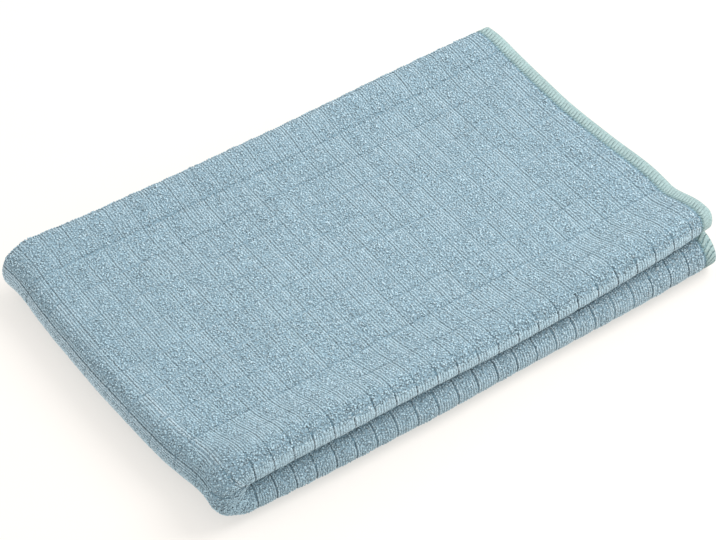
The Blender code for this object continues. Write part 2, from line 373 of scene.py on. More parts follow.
def frame_shift():
    """What moves the sheet into the frame: both boxes have their middles in one place."""
    along, across = np.meshgrid(
        np.linspace(-HEM, HEM, 500), np.linspace(BACK_ROW + BACK_ARC, FRONT_ROW - FRONT_ARC, 200)
    )
    outside = middle_surface(along, across) + directions(along, across)[2] * THICKNESS / 2
    low, high = outside.min(axis=(0, 1)), outside.max(axis=(0, 1))
    box_low, box_high = (np.array(corner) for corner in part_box(NODE))
    return (box_low + box_high) / 2 - (low + high) / 2


SHIFT = frame_shift()


def on_sheet(along, across, height):
    """Points at a height over the middle surface, on the outer side of the sheet."""
    out = directions(along, across)[2]
    return middle_surface(along, across) + SHIFT + out * np.asarray(height)[..., None]


# ---------------- the grid of grooves

def cloth_distance(along):
    """The distance along as it was on the flat cloth, which is drawn together below."""
    return np.where(along < 0.0, along / LOWER_SPACING, along)


def beside_groove(flat):
    """Distance to the middle of the nearest long groove, if it were straight."""
    return flat % GROOVE_PITCH - GROOVE_PITCH / 2


def beside_cross_groove(across):
    """The same for the cross grooves."""
    return (across + CROSS_PITCH / 2) % CROSS_PITCH - CROSS_PITCH / 2


def wander(flat, across, field=LONG_FIELD):
    """How far a long groove wanders to either side: a soft random field."""
    return LONG_WANDER * soft_noise(flat, across, *field)


def cross_wander(flat, across):
    """The same for the cross grooves."""
    return CROSS_WANDER * soft_noise(flat, across, *CROSS_FIELD)


def from_groove(along, across):
    """Distance to the middle of the nearest long groove, as it wanders."""
    flat = cloth_distance(along)
    return beside_groove(flat + wander(flat, across))


def from_cross_groove(along, across):
    """The same for the cross grooves."""
    return beside_cross_groove(across + cross_wander(cloth_distance(along), across))


def show_of_pile(across):
    """1 where the pile stands free, 0 in the tight middle gap and on the flaps."""
    front = ease(across, FRONT_ROW - FRONT_ARC, FRONT_ROW - FRONT_SHOWN * FRONT_ARC)
    back = ease(across, BACK_ROW + BACK_ARC, BACK_ROW + BACK_SHOWN * BACK_ARC)
    return front * back


def opening(along, across):
    """1 where the front fold opens the grooves, 0.6 where the half fold does, 0 elsewhere."""
    front = ease(across, FRONT_ROW + 0.003, FRONT_ROW - 0.004)
    return np.maximum(front, 0.6 * near(along, 0.006, 0.016))


def toward_front(across):
    """Where the shoulder's second groove shows: it fades in to the front."""
    return ease(across, 0.010, -0.030)


def shoulder_groove(along, across):
    """The second groove on the half fold's shoulder: a bell curve across it."""
    from_it = cloth_distance(along) - SHOULDER_GROOVE - wander(across, across, SHOULDER_FIELD)
    return bell(from_it, GROOVE_WIDTH) * toward_front(across)


def crease(along, across):
    """The crease that carries the gap on round the front corner: a bell curve across it."""
    flat = cloth_distance(along)
    from_it = across - CREASE_END[1] - CREASE_SLOPE * (flat - CREASE_END[0])
    return bell(from_it, CREASE_WIDTH) * plateau(flat, *CREASE_ENDS)


def hem_valley(along):
    """The soft valley beside the overcast band: a bell curve."""
    return bell(np.abs(along) - NEEDLE_LINE + 0.0002, VALLEY_WIDTH)


def relief(along, across, looks):
    """Height of the ground of the cloth over the plain sheet.

    Each groove is a trough with the shape of a bell curve, a cell swells by the square of a
    cosine, the bend over the gap swells by a bell curve, and the whole has soft lumps.
    """
    long_way = from_groove(along, across)
    strength = 1.0 + 0.35 * soft_noise(cloth_distance(along), across, *DEPTH_FIELD)
    depth = looks.groove_depth * (1.0 + looks.fold_opening * opening(along, across))
    groove = np.maximum(
        depth * strength * bell(long_way, GROOVE_WIDTH), depth * shoulder_groove(along, across)
    )
    cross = bell(from_cross_groove(along, across), CROSS_WIDTH)
    cross = looks.cross_depth * strength * cross
    dome = looks.cell_swell * np.cos(np.pi * long_way / GROOVE_PITCH) ** 2
    lumps = looks.lump_height * soft_noise(along, across, *LUMP_FIELD)
    valley = looks.hem_valley_depth * hem_valley(along)
    valley = valley + looks.crease_depth * crease(along, across)
    roll = looks.roll_swell * bell(across - OVER_GAP, ROLL_WIDTH) * (along > 0.0)
    return (lumps + roll - groove - cross - dome - valley) * show_of_pile(across)


# ---------------- meshes

def add_object(name, data):
    """A new object in the scene."""
    piece = bpy.data.objects.new(name, data)
    bpy.context.scene.collection.objects.link(piece)
    return piece


def new_piece(name, points, loops, counts, material):
    """A smooth mesh object from points, the corners of all faces and each face's count."""
    mesh = bpy.data.meshes.new(name)
    mesh.vertices.add(len(points))
    mesh.vertices.foreach_set("co", np.asarray(points, dtype=np.float32).ravel())
    mesh.loops.add(len(loops))
    mesh.loops.foreach_set("vertex_index", np.asarray(loops, dtype=np.int32))
    starts = np.concatenate([[0], np.cumsum(counts)[:-1]])
    mesh.polygons.add(len(counts))
    mesh.polygons.foreach_set("loop_start", starts.astype(np.int32))
    mesh.materials.append(material)
    mesh.update(calc_edges=True)
    mesh.validate()
    mesh.shade_smooth()
    return add_object(name, mesh)


def add_attribute(piece, name, values):
    """One number for each point, which the material reads."""
    attribute = piece.data.attributes.new(name, "FLOAT", "POINT")
    attribute.data.foreach_set("value", np.asarray(values, dtype=np.float32).ravel())


def add_map(piece, places):
    """The map that a bake uses, from one place for each point."""
    layer = piece.data.uv_layers.new(name=BAKE_MAP)
    corner = np.empty(len(piece.data.loops), dtype=np.int32)
    piece.data.loops.foreach_get("vertex_index", corner)
    layer.uv.foreach_set("vector", np.asarray(places, dtype=np.float32)[corner].ravel())


def inset(share):
    """A share from 0 to 1 with a margin left at both ends, for a map."""
    return 0.01 + 0.98 * share


def grid_quads(index):
    """Corners of the faces of a grid of point numbers."""
    quads = [index[:-1, :-1], index[1:, :-1], index[1:, 1:], index[:-1, 1:]]
    return np.stack(quads, axis=-1).reshape(-1, 4)


def along_stations():
    """Places of the mesh along the cloth, from the lower hem to the upper one.

    Each cell repeats its stations, which crowd at the long grooves: ten on the top, eight
    below. The valley beside the band and the rounding of the hem have their own.
    """
    grooves = (np.arange(CELLS_EACH_HALF) + 0.5)[:, None] * GROOVE_PITCH
    top = np.concatenate([[0.0, *FIRST_STATIONS, 0.00375], (grooves + UPPER_STATIONS).ravel()])
    low = np.concatenate([FIRST_STATIONS, (grooves + LOWER_STATIONS).ravel()]) * LOWER_SPACING
    valley = NEEDLE_LINE + np.array(VALLEY_STATIONS)
    hem = HEM - np.array(HEM_STATIONS) * HEM_ROUND
    inside = NEEDLE_LINE - 0.0014
    return np.concatenate(
        [-hem, -valley[::-1], -low[low < inside][::-1], top[top < inside], valley, hem[::-1]]
    )


def across_rows():
    """Places of the mesh across the cloth, from the inner flap's edge to the second flap's."""
    front_end, back_end = FRONT_ROW - FRONT_ARC, BACK_ROW + BACK_ARC
    panel = np.linspace(BACK_ROW, FRONT_ROW, round((BACK_ROW - FRONT_ROW) / PANEL_STEP) + 1)
    front = np.linspace(FRONT_ROW, front_end, round(FRONT_ARC / FOLD_STEP) + 1)[1:]
    back = np.linspace(back_end, BACK_ROW, round(BACK_ARC / FOLD_STEP) + 1)[:-1]
    places = np.array(FLAP_PLACES)
    second = [*(front_end - (places - FRONT_ROW)), front_end - SECOND_FLAP]
    inner = [back_end + INNER_FLAP, *(back_end + (BACK_ROW - places))]
    return np.concatenate([inner, back, panel, front, second])


def hem_share(along):
    """Share of the thickness near a hem, which rounds off like a quarter circle."""
    inward = np.clip((HEM - np.abs(along)) / HEM_ROUND, 0.0, 1.0)
    return HEM_EDGE + (1.0 - HEM_EDGE) * np.sqrt(1.0 - (1.0 - inward) ** 2)


def rim(fine, coarse, flipped):
    """Faces between a fine and a coarse row of point numbers, one for each coarse step.

    Each is (place in the fine row, point number) in the coarse row. A face takes in all the
    fine points of its step.
    """
    faces = []
    for (start, a), (end, b) in zip(coarse, coarse[1:]):
        face = list(fine[start:end + 1]) + [b, a]
        faces.append(face[::-1] if flipped else face)
    return faces


def one_in_few(count):
    """Numbers of the points that the inner side keeps of a row, with its last one."""
    return np.unique(np.append(np.arange(0, count, COARSE), count - 1))


def sheet_mesh(looks):
    """Points, faces and places of the whole sheet as one closed body.

    The outer side lies over the middle surface by the ground's height, times the hem's share,
    plus the relief. The inner side lies as far below it, without relief and with fewer points.
    """
    along, across = np.meshgrid(along_stations(), across_rows(), indexing="ij")
    band = ease(np.abs(along), NEEDLE_LINE - 0.0006, NEEDLE_LINE + 0.0002)
    raised = relief(along, across, looks) * (1.0 - band)
    outer = on_sheet(along, across, GROUND * hem_share(along) + raised)

    keep_s, keep_r = one_in_few(along.shape[0]), one_in_few(along.shape[1])
    inner_along, inner_across = along[np.ix_(keep_s, keep_r)], across[np.ix_(keep_s, keep_r)]
    inner = on_sheet(inner_along, inner_across, -GROUND * hem_share(inner_along))

    outer_index = np.arange(along.size).reshape(along.shape)
    inner_index = np.arange(inner_along.size).reshape(inner_along.shape) + along.size
    edges = []
    for end, flipped in ((0, True), (-1, False)):
        coarse = list(zip(keep_s, inner_index[:, end]))
        edges += rim(outer_index[:, end], coarse, flipped)
    for end, flipped in ((0, False), (-1, True)):
        coarse = list(zip(keep_r, inner_index[end, :]))
        edges += rim(outer_index[end, :], coarse, flipped)

    quads = np.concatenate([grid_quads(outer_index)[:, ::-1], grid_quads(inner_index)])
    loops = np.concatenate([quads.ravel(), np.concatenate(edges)])
    counts = np.concatenate([np.full(len(quads), 4), [len(edge) for edge in edges]])
    points = np.concatenate([outer.reshape(-1, 3), inner.reshape(-1, 3)])
    return points, loops, counts, (along, across), (inner_along, inner_across)


def make_sheet(looks):
    """The sheet as an object, with its map and the numbers that its material reads."""
    points, loops, counts, outer, inner = sheet_mesh(looks)
    ground = microfibre_material("ground", looks)
    sheet = new_piece("cloth_sheet", points, loops, counts, ground)
    along, across = (np.concatenate([o.ravel(), i.ravel()]) for o, i in zip(outer, inner))
    outside = np.arange(len(along)) < outer[0].size
    share = (across - across.min()) / np.ptp(across)
    u = inset(np.abs(along) / HEM)
    v = np.where(along >= 0.0, 0.01 + 0.58 * share, 0.61 + 0.28 * share)
    v = np.where(outside, v, 0.91 + 0.08 * share)
    add_map(sheet, np.stack([u, v], axis=-1))
    # Painted shade: the ground is darkened in the long and cross grooves, the shoulder's groove, the
    # valley beside the band and the crease, most where a bend opens the grooves
    hollow_shades = (
        bell(from_groove(along, across), 0.0004) * (0.30 + 0.70 * opening(along, across)),
        bell(from_cross_groove(along, across), 0.0004) * 0.40,
        shoulder_groove(along, across),
        hem_valley(along),
        crease(along, across),
    )
    add_attribute(sheet, "hollow_shade", np.max(hollow_shades, axis=0) * show_of_pile(across))
    hem = ease(np.abs(along), NEEDLE_LINE - 0.0001, NEEDLE_LINE + 0.0003)
    add_attribute(sheet, "hem", hem)
    return sheet


# ---------------- pile

def roughness_of_fold(across, below):
    """What the front fold adds to the roughness of the pile.

    On the upper half the top of the fold is rough and the bend under it smooth. On the
    lower half the pile stands in ribs, and is rough only where it faces the gap.
    """
    if below:
        facing_gap = ease(across, -0.0685, -0.0715)
        return 0.5 * facing_gap - 0.35 * ease(across, -0.0600, -0.0650)
    from_top = across - FOLD_TOP
    top = plateau(from_top, -0.0028, -0.0008, 0.0020, 0.0055)
    return top - 0.9 * ease(from_top, -0.0012, -0.0030)


def loop_grid(cells, rows):
    """Where the loops of some cells would stand on a straight grid, wale by wale.

    Every other wale stands half a row further.
    """
    wale = (np.arange(WALES_EACH_CELL) + 0.5) * WALE_PITCH
    flat = ((cells[:, None] + 0.5) * GROOVE_PITCH + wale[None, :]).ravel()
    half_row = np.arange(len(flat)) % 2 * 0.5
    flat, across = np.meshgrid(flat, rows * ROW_PITCH, indexing="ij")
    across = across + half_row[:, None] * ROW_PITCH
    return flat.ravel(), across.ravel()


def looseness(flat, across, held, below):
    """How rough the pile is at each loop: 0 is combed into ribs, 1 and more is rough.

    A soft random field and one random number for each cell say where the cloth was
    stroked. Held loops, those beside a groove, stay straight.
    """
    stroked = soft_noise(flat, across, *STROKED_FIELD), cell_number(flat, across, STROKED_CELLS)
    combed = ease(0.6 * stroked[0] + 0.6 * stroked[1], -0.35, 0.65)
    order = np.clip(0.10 + 0.55 * combed + 0.65 * held, 0.0, 1.0)
    return np.clip(1.0 - order + roughness_of_fold(across, below), 0.0, ROUGHEST)


def light_and_shade_zones(flat, across, side, cross_side, bend, at_shoulder, below):
    """How far each loop lies in each zone where light or shade is painted on the loops, from 0 to 1.

    A zone is a product of smooth steps, plateaus and bell curves of distances in metres.
    """
    upper = not below
    in_cross = 0.68 + 0.32 * cell_number(flat, across + CROSS_PITCH / 2, CROSS_CELLS)
    from_top = across - FOLD_TOP
    smooth_bend = ease(from_top, -0.0014, -0.0030) * ease(flat, 0.012, 0.026)
    right = ease(flat, 0.120, 0.160)
    # painted shade along the top of the front fold, weaker towards the lit right end
    fold_top = plateau(from_top, -0.0020, 0.0, 0.0025, 0.0055) * (1.0 - 0.6 * right)
    past_shoulder = at_shoulder * (flat > SHOULDER_GROOVE)
    return {
        "lit_side": bell(side + 0.0012, 0.0006),
        "shaded_side": bell(side - 0.0008, 0.0009),
        "ridge": past_shoulder * toward_front(across) * upper,
        "lit_open_side": bend * plateau(side, 0.0001, 0.0003, 0.0009, 0.0012),
        "in_cross": near(cross_side - 0.0002, 0.0002, 0.0006) * in_cross,
        "before_cross": bell(cross_side + 0.0006, 0.0004),
        "half_fold": near(flat, 0.009, 0.015) * (0.10 + 0.90 * ease(across, 0.020, -0.040)),
        "strip": near(flat, 0.0036, 0.0048) * ease(across, -0.056, -0.040) * upper,
        "smooth_bend": smooth_bend * upper,
        "left": ease(flat, 0.060, 0.020),
        "fold_top": fold_top * upper,
        "corner": ease(flat, 0.032, 0.014) * ease(across, -0.030, -0.052),
        "lower_right": right * below,
        "lower_left": ease(flat, 0.120, 0.040) * below,
        "creased": crease(flat, across) * upper,
    }


def loop_places(cells, rows, looks, seed, below):
    """Where the loops of some cells stand, with their looks.

    Loops beside a groove are pushed away from it. Then chance moves, turns, sizes and leans
    each loop, more where the pile is rough, and leaves some out.
    """
    random = np.random.default_rng(seed)
    flat, across = loop_grid(cells, rows)
    side, cross_side = beside_groove(flat), beside_cross_groove(across)
    at_shoulder = near(flat - SHOULDER_GROOVE - 0.0003, 0.0014, 0.0022) * (not below)
    held = (near(side, 0.0012, 0.0022), 0.8 * near(cross_side, 0.0003, 0.0009), at_shoulder)
    bend = opening(flat, across)
    apart = looks.groove_opening * (1.0 + 3.5 * bend)
    flat = flat + np.sign(side) * apart * near(side, 0.0004, 0.0016)
    loose = looseness(flat, across, np.max(held, axis=0), below)
    from_shoulder = flat - SHOULDER_GROOVE
    pushed = 0.00022 * near(from_shoulder, 0.0003, 0.0014) * toward_front(across) * (not below)
    flat = flat + np.sign(from_shoulder) * pushed

    zones = light_and_shade_zones(flat, across, side, cross_side, bend, at_shoulder, below)
    strand = bell(side + 0.0005, 0.0003) * (1.0 - bend)
    strand = strand * (0.7 + 0.3 * cell_number(flat, across, STRAND_CELLS))
    count = len(flat)
    # Each loop's own tone at random, then painted shade on the strand beside a long groove and
    # painted light and shade by zone
    tone_and_shade = random.uniform(*EVEN_TONE, count) + random.normal(0.0, UNEVEN_TONE, count) * loose
    tone_and_shade = MIDDLE_TONE + (tone_and_shade - MIDDLE_TONE) * (1.0 - 0.7 * strand) + STRAND_SHADE * strand
    for zone, change in LIGHT_AND_SHADE.items():
        tone_and_shade = tone_and_shade + change * zones[zone]
    loose = np.clip(loose - 0.6 * zones["strip"], 0.0, ROUGHEST)
    tone_and_shade = tone_and_shade + ROUGH_TONE * (loose - 0.4)

    def spread(combed, rough):
        """How widely chance spreads a thing at each loop."""
        return combed + rough * loose

    in_cross, creased, smooth_bend = zones["in_cross"], zones["creased"], zones["smooth_bend"]
    shift = random.normal(0.0, 1.0, (2, count))
    loops = {
        "flat": flat + shift[0] * spread(*MOVED_ALONG) - wander(flat, across),
        "across": across + shift[1] * spread(*MOVED_ACROSS) - cross_wander(flat, across),
        "loose": loose,
        "bend": bend,
        "low": 0.4 * in_cross + 0.45 * smooth_bend + 0.35 * creased * (1.0 - smooth_bend),
        "wide": 0.45 * smooth_bend + 0.08 * strand,
        # Painted shade: loops in a cross groove or the crease are darkened from the foot up, as if in
        # shade
        "tip_light": 1.0 - np.maximum(0.75 * in_cross, 0.85 * creased),
        "turn": random.normal(0.0, 1.0, count) * spread(*TURNED),
        "size": 1.0 - 0.08 * loose + random.normal(0.0, 1.0, count) * spread(*SIZED),
        "lean": random.normal(0.0, 1.0, (count, 2)) * spread(*LEANT)[:, None],
        "tone_and_shade": tone_and_shade,
    }
    missing = looks.loops_missing * loose + 0.60 * in_cross * (1.0 - 0.8 * bend)
    return chosen(loops, random.uniform(0.0, 1.0, count) > missing)


def chosen(loops, kept):
    """The loops that are kept, with all that is known of each."""
    return {key: value[kept] for key, value in loops.items()}


def standing_loops(cells, rows, looks, seed, below):
    """The loops that show: off the flaps and the bands, and fewer where the cloth is crowded.

    There the share that is kept is the share to which the cloth is drawn, over CROWDED.
    """
    loops = loop_places(cells, rows, looks, seed, below)
    loops["along"] = -loops["flat"] * LOWER_SPACING if below else loops["flat"]
    loops["shown"] = show_of_pile(loops["across"])
    off_band = np.abs(loops["along"]) < NEEDLE_LINE - 0.0006
    loops = chosen(loops, off_band & (loops["shown"] > 0.12))
    drawn = drawn_together(loops["along"], loops["across"])
    chance = np.random.default_rng(seed + 100).uniform(0.0, 1.0, len(drawn))
    return chosen(loops, chance < drawn / CROWDED)


def make_pile(name, cells, rows, looks, seed, below, stretch):
    """A piece of pile: each loop is a low tent with a short ridge, closed underneath.

    Where rows are left out, the stretch makes each loop longer.
    """
    loops = standing_loops(cells, rows, looks, seed, below)
    along, across, turn, size = (loops[key] for key in ("along", "across", "turn", "size"))
    u, v, out = directions(along, across)
    centre = on_sheet(along, across, GROUND + relief(along, across, looks))
    side_way = u * np.cos(turn)[:, None] + v * np.sin(turn)[:, None]
    long_way = -u * np.sin(turn)[:, None] + v * np.cos(turn)[:, None]
    width = looks.loop_width / 2 * size * (1.0 - 0.14 * loops["bend"] + loops["wide"])
    length = looks.loop_length / 2 * size * (1.0 + 0.20 * loops["bend"]) * stretch
    height = looks.loop_height * size * loops["shown"]
    height = height * (0.70 + 0.40 * loops["loose"] - loops["low"])
    lean = u * loops["lean"][:, :1] + v * loops["lean"][:, 1:]

    def corner(a, b, level):
        """One point of every loop, from its shares of the width, length and height."""
        place = centre + side_way * (width * a)[:, None] + long_way * (length * b)[:, None]
        rise = height * level - looks.loop_sink * (1 - level)
        return place + out * rise[:, None] + lean * (looks.loop_width * level)

    points = np.stack([corner(*shares) for shares in LOOP_CORNERS], axis=1)
    first = (np.arange(len(along)) * len(LOOP_CORNERS))[:, None, None]
    triangles, quads = first + np.array(LOOP_ENDS), first + np.array(LOOP_SIDES)
    corners = np.concatenate([triangles.ravel(), quads.ravel()])
    counts = np.repeat([3, 4], [triangles.size // 3, quads.size // 4])
    fibre = microfibre_material("pile", looks)
    pile = new_piece(name, points.reshape(-1, 3), corners, counts, fibre)
    # From the foot to the ridge a loop goes from the ground colour to its own: partly the deeper
    # fibres' darker colour, partly painted shade at the foot
    tip_light = loops["tip_light"][:, None] * np.array([level for *_, level in LOOP_CORNERS])
    add_attribute(pile, "tip_light", tip_light)
    add_attribute(pile, "tone_and_shade", np.repeat(loops["tone_and_shade"], len(LOOP_CORNERS)))
    add_attribute(pile, "rough", np.repeat(loops["loose"], len(LOOP_CORNERS)))
    reach = np.array([(a * 0.4, b * 0.3) for a, b, _ in LOOP_CORNERS])
    place = np.stack([along, across], axis=-1)[:, None, :] + reach * WALE_PITCH
    low, high = place.min(axis=(0, 1)), place.max(axis=(0, 1))
    add_map(pile, inset((place - low) / (high - low)).reshape(-1, 2))
    return pile


# ---------------- overcast thread

def thread_tube(path, out, wide, high, sides):
    """A flattened tube along a path: an ellipse, wide across the path and high out of it."""
    run = unit(np.gradient(path, axis=0))
    across = unit(np.cross(run, out))
    up = np.cross(across, run)
    turn = np.arange(sides) * 2 * np.pi / sides
    ring = across[:, None, :] * (wide * np.cos(turn))[None, :, None]
    ring = ring + up[:, None, :] * (high * np.sin(turn))[None, :, None]
    points = path[:, None, :] + ring
    index = np.arange(points.shape[0] * sides).reshape(points.shape[:2])
    quads = grid_quads(np.concatenate([index, index[:, :1]], axis=1))
    loops = np.concatenate([quads.ravel(), index[0, ::-1], index[-1]])
    counts = np.concatenate([np.full(len(quads), 4), [sides, sides]])
    return points.reshape(-1, 3), loops, counts


def round_the_edge(travel, half, radius):
    """Where a thread is on its way over the band: how far in from the edge, and its height.

    It runs straight over the outer side, half a circle round the edge and straight back
    under the inner side. The third number is its angle round the edge.
    """
    straight = np.clip(travel, 0.0, half)
    angle = np.clip((travel - half) / radius, 0.0, np.pi)
    back = np.clip(travel - half - np.pi * radius, 0.0, half)
    return half - straight - radius * np.sin(angle) + back, radius * np.cos(angle), angle


def make_hem_thread(name, sign, looks):
    """The overcast thread of one hem: a zigzag over the edge, each way out over the way back.

    In each stitch its travel goes round the edge and back by a smooth step, while it moves on
    along the hem, and a sine lifts the way out over the way back.
    """
    low, high = FRONT_ROW - FRONT_ARC - SECOND_FLAP, BACK_ROW + BACK_ARC + INNER_FLAP
    pitch, sides = looks.stitch_pitch, looks.thread_sides
    stitches = int((high - low - pitch) / pitch)
    phase = np.arange(stitches * looks.steps_each_stitch + 1) / looks.steps_each_stitch
    part, stitch = phase % 1.0, np.floor(phase).astype(int)
    radius = GROUND + looks.thread_high * 0.35
    half = BAND_WIDTH - radius
    full = 2 * half + np.pi * radius
    sweep = ease(2 * np.abs(part - 0.5), -0.12, 1.12)
    travel = full * (sweep - sweep.min()) / np.ptp(sweep)
    outward = np.sin(2 * np.pi * part)
    random = np.random.default_rng(31 + int(sign))
    sway = random.normal(0.0, 0.03, stitches + 2)[stitch] * pitch
    each = random.uniform(-0.25, 0.25, stitches + 2)[stitch]

    inward, height, angle = round_the_edge(travel, half, radius)
    across = low + pitch * 0.5 + phase * pitch + sway * np.sin(np.pi * part) ** 2
    across = across + sign * looks.stitch_slant * ease(inward, 0.0, half)
    along = sign * (HEM - radius * 0.6 - inward)
    _, v, out = directions(along, across)
    outside = np.cross(v, out) * sign
    facing = out * np.cos(angle)[:, None] + outside * np.sin(angle)[:, None]
    inner_half = ease(inward, 0.0009, 0.0022)
    lift = looks.thread_high * (0.15 + 0.35 * inner_half) * outward
    path = on_sheet(along, across, height) + facing * lift[:, None]

    tube = thread_tube(path, facing, looks.thread_wide, looks.thread_high, sides)
    thread = new_piece(name, *tube, thread_material(looks))
    place = np.stack([phase / stitches, travel / full], axis=-1)
    add_map(thread, inset(np.repeat(place, sides, axis=0)))
    # Painted shade: the way back, under the way out, is darker, with a random tone for each stitch
    add_attribute(thread, "shade", np.repeat(0.4 - (0.5 * outward - each) * inner_half, sides))
    # Painted shade where the thread dips into the cloth at the needle line
    foot = ease(inward, half - 0.0004, half) * (0.7 + 1.2 * each)
    add_attribute(thread, "foot", np.repeat(foot, sides))
    return thread


# ---------------- materials

def feed(tree, node, inputs):
    """Give a node's inputs what they take: a number, a colour or a socket to link."""
    for key, value in inputs.items():
        if isinstance(value, bpy.types.NodeSocket):
            tree.links.new(value, node.inputs[key])
        else:
            node.inputs[key].default_value = value


def add_node(tree, kind, inputs, **options):
    """A shader node with its own options and its inputs."""
    node = tree.nodes.new("ShaderNode" + kind)
    for name, value in options.items():
        setattr(node, name, value)
    feed(tree, node, inputs)
    return node


def noise(tree, place, scale, detail):
    """A noise texture at a scale in features for each metre."""
    inputs = {"Vector": place, "Scale": scale, "Detail": detail}
    return add_node(tree, "TexNoise", inputs).outputs["Fac"]


def ramp(tree, value, low, high, from_low=0.0, from_high=1.0):
    """A smooth change from low to high as a value goes between two others."""
    inputs = {
        "Value": value, "From Min": from_low, "From Max": from_high, "To Min": low, "To Max": high,
    }
    node = add_node(tree, "MapRange", inputs, interpolation_type="SMOOTHSTEP")
    return node.outputs["Result"]


def reckon(tree, operation, first, second):
    """One operation on two values."""
    return add_node(tree, "Math", {0: first, 1: second}, operation=operation).outputs[0]


def mix(tree, factor, first, second):
    """A mix of two colours."""
    return add_node(tree, "Mix", {0: factor, 6: first, 7: second}, data_type="RGBA").outputs[2]


def carried(tree, name):
    """A number that the piece's points carry."""
    return add_node(tree, "Attribute", {}, attribute_name=name).outputs["Fac"]


def brushed_group():
    """Soft lighter and darker places, as the pile was stroked, and a grain of single fibres."""
    if "brushed_fibre" in bpy.data.node_groups:
        return bpy.data.node_groups["brushed_fibre"]
    tree = bpy.data.node_groups.new("brushed_fibre", "ShaderNodeTree")
    for name, kind, way in (
        ("Colour", "Color", "INPUT"), ("Patches", "Float", "INPUT"), ("Grain", "Float", "INPUT"),
        ("Colour", "Color", "OUTPUT"), ("Height", "Float", "OUTPUT"),
    ):
        tree.interface.new_socket(name=name, in_out=way, socket_type="NodeSocket" + kind)
    entry = tree.nodes.new("NodeGroupInput").outputs
    leave = tree.nodes.new("NodeGroupOutput")
    place = tree.nodes.new("ShaderNodeTexCoord").outputs["Object"]
    # patches about 13 mm wide, blotches of 4 mm and fibres of half a millimetre
    patches = ramp(tree, noise(tree, place, 75.0, 2.0), -1.0, 1.0, 0.3, 0.7)
    blotches = ramp(tree, noise(tree, place, 260.0, 2.0), -0.6, 0.6, 0.3, 0.7)
    both = reckon(tree, "ADD", patches, blotches)
    soft = reckon(tree, "MULTIPLY", both, entry["Patches"])
    grain = noise(tree, place, 1900.0, 1.5)
    fine = ramp(tree, grain, -1.0, 0.6, 0.36, 0.56)
    fine = reckon(tree, "MULTIPLY", fine, entry["Grain"])
    factor = reckon(tree, "ADD", reckon(tree, "ADD", soft, fine), 1.0)
    inputs = {0: entry["Colour"], "Scale": factor}
    scaled = add_node(tree, "VectorMath", inputs, operation="SCALE")
    feed(tree, leave, {"Colour": scaled.outputs[0], "Height": grain})
    return tree


def base_material(name, inputs):
    """A material whose Principled shader has these inputs."""
    material = bpy.data.materials.new(name)
    material.use_nodes = True
    shader = material.node_tree.nodes["Principled BSDF"]
    feed(material.node_tree, shader, inputs)
    return material, material.node_tree, shader


def textile_material(name, roughness, sheen):
    """The same for matt textile."""
    return base_material(name, {
        "Roughness": roughness, "Specular IOR Level": 0.25,
        "Sheen Weight": sheen, "Sheen Roughness": 0.5,
    })


def finish_textile(tree, shader, colour, patches, grain, bump):
    """Lays the brushed fibre over a colour and into the surface."""
    inputs = {"Colour": colour, "Patches": patches, "Grain": grain}
    brushed = tree.nodes.new("ShaderNodeGroup")
    brushed.node_tree = brushed_group()
    feed(tree, brushed, inputs)
    inputs = {"Height": brushed.outputs["Height"], "Distance": bump, "Strength": 0.8}
    normal = add_node(tree, "Bump", inputs).outputs["Normal"]
    feed(tree, shader, {"Base Color": brushed.outputs["Colour"], "Normal": normal})


def microfibre_material(part, looks):
    """Blue-grey microfibre: the ground of the cloth, or the loops that stand on it."""
    name = "microfibre_" + part
    if name in bpy.data.materials:
        return bpy.data.materials[name]
    material, tree, shader = textile_material(name, 0.9, 0.25)
    if part == "ground":
        # Painted shade in the hollows, then the ground under the overcast band
        hollow_shade, hem = carried(tree, "hollow_shade"), carried(tree, "hem")
        colour = mix(tree, hollow_shade, looks.ground_and_shade_colour, looks.groove_shade_colour)
        colour = mix(tree, hem, colour, looks.hem_colour)
        grain = GROUND_GRAIN
    else:
        # Painted shade at the foot of each loop and in the cross grooves and crease, partly the
        # deeper fibres' own darker colour
        tip_light = ramp(tree, carried(tree, "tip_light"), 0.0, 1.0, 0.0, 0.75)
        # Each loop's own random tone together with the painted light and shade of its zone and beside
        # the grooves
        tone_and_shade = ramp(tree, carried(tree, "tone_and_shade"), 0.10, 0.80)
        colour = mix(tree, tip_light, looks.ground_and_shade_colour, looks.colour)
        colour = mix(tree, tone_and_shade, colour, looks.pale_colour)
        grain = ramp(tree, carried(tree, "rough"), 0.27, 0.46)
    finish_textile(tree, shader, colour, 0.015, grain, 0.00012)
    return material


def thread_material(looks):
    """Pale mint thread, a little shinier than the cloth."""
    name = "overcast_thread"
    if name in bpy.data.materials:
        return bpy.data.materials[name]
    material, tree, shader = textile_material(name, 0.62, 0.2)
    shade, foot = carried(tree, "shade"), carried(tree, "foot")
    # Painted shade where the thread lies under itself, and a random tone for each stitch
    colour = mix(tree, shade, looks.thread_colour, looks.thread_shade)
    # Painted shade where the thread dips into the cloth
    colour = mix(tree, foot, colour, looks.thread_foot_shade)
    finish_textile(tree, shader, colour, 0.03, 0.14, 0.00010)
    return material


# ---------------- settings

def number(name, description, default, low=0.0, **more):
    """A number that a user can change."""
    return FloatProperty(name=name, description=description, default=default, min=low, **more)


def length(*described):
    """A length that a user can change."""
    return number(*described, unit="LENGTH")


def tint(name, description, *default):
    """A colour that a user can change."""
    return FloatVectorProperty(
        name=name, description=description, subtype="COLOR", size=4,
        default=(*default, 1.0), min=0.0, max=1.0,
    )


